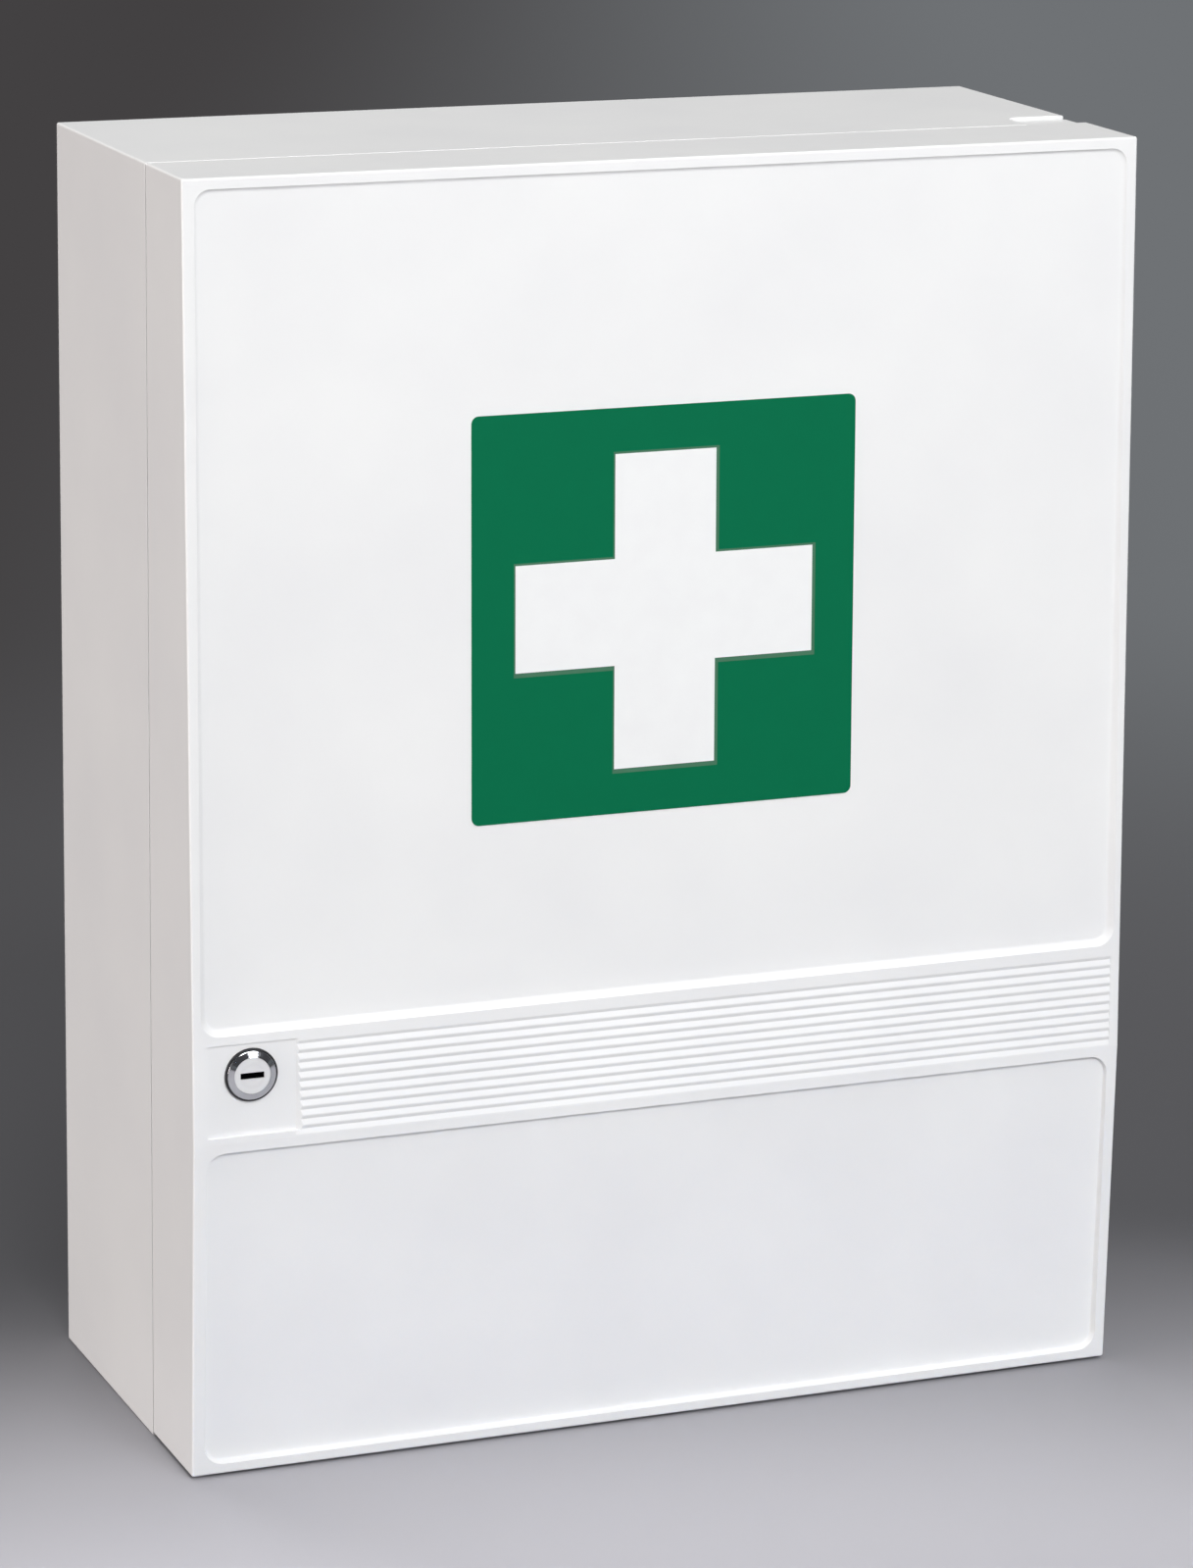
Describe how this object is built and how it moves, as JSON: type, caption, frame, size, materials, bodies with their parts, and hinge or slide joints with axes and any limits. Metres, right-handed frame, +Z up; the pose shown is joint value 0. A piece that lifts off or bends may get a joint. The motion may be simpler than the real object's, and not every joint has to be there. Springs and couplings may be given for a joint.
{
  "type": "medicine cabinet",
  "caption": "Wall-hung moulded medicine cabinet with a deep hinged door, first-aid sign, ribbed band, cam lock, shelves and door trays.",
  "frame": {"origin": "on the standing plane, under the middle of the overall width and depth", "axes": "+X to the right seen from the front, +Y towards the wall, +Z up"},
  "size_m": [0.37, 0.1626, 0.476],
  "materials": {
    "abs_white": "satin moulded ABS",
    "shelf_white": "matt polystyrene",
    "tray_white": "matt polystyrene",
    "nylon": "natural nylon",
    "steel": "turned",
    "zinc_steel": "zinc plated",
    "green_film": "printed film",
    "white_film": "printed film",
    "chrome": "polished chrome plate",
    "lock_plug": "satin chrome plate"
  },
  "bodies": {
    "cabinet": {"body_shell": "abs_white", "strike_plate": "zinc_steel", "strike_screws": "zinc_steel", "shelf_lower": "shelf_white", "shelf_middle": "shelf_white", "shelf_upper": "shelf_white", "hinge_bush_upper": "nylon", "hinge_bush_lower": "nylon", "hinge_pin_upper": "steel", "hinge_pin_lower": "steel"},
    "door": {"door_shell": "abs_white", "door_tray_lower": "tray_white", "door_tray_middle": "tray_white", "door_tray_upper": "tray_white", "sign_field": "green_film", "sign_cross": "white_film", "lock_housing": "chrome", "lock_washer": "zinc_steel", "lock_nut": "zinc_steel"},
    "lock_cylinder": {"lock_plug": "lock_plug", "lock_cam": "zinc_steel", "cam_screw": "zinc_steel"}
  },
  "joints": [
    {"name": "door_hinge", "type": "hinge", "parent": "cabinet", "child": "door", "pos_m": [0.18, -0.0163, 0.238], "axis": [0, 0, 1], "range_deg": [0, 100]},
    {"name": "lock_turn", "type": "hinge", "parent": "door", "child": "lock_cylinder", "pos_m": [-0.1629, -0.07, 0.1528], "axis": [0, 1, 0], "range_deg": [0, 90]}
  ]
}
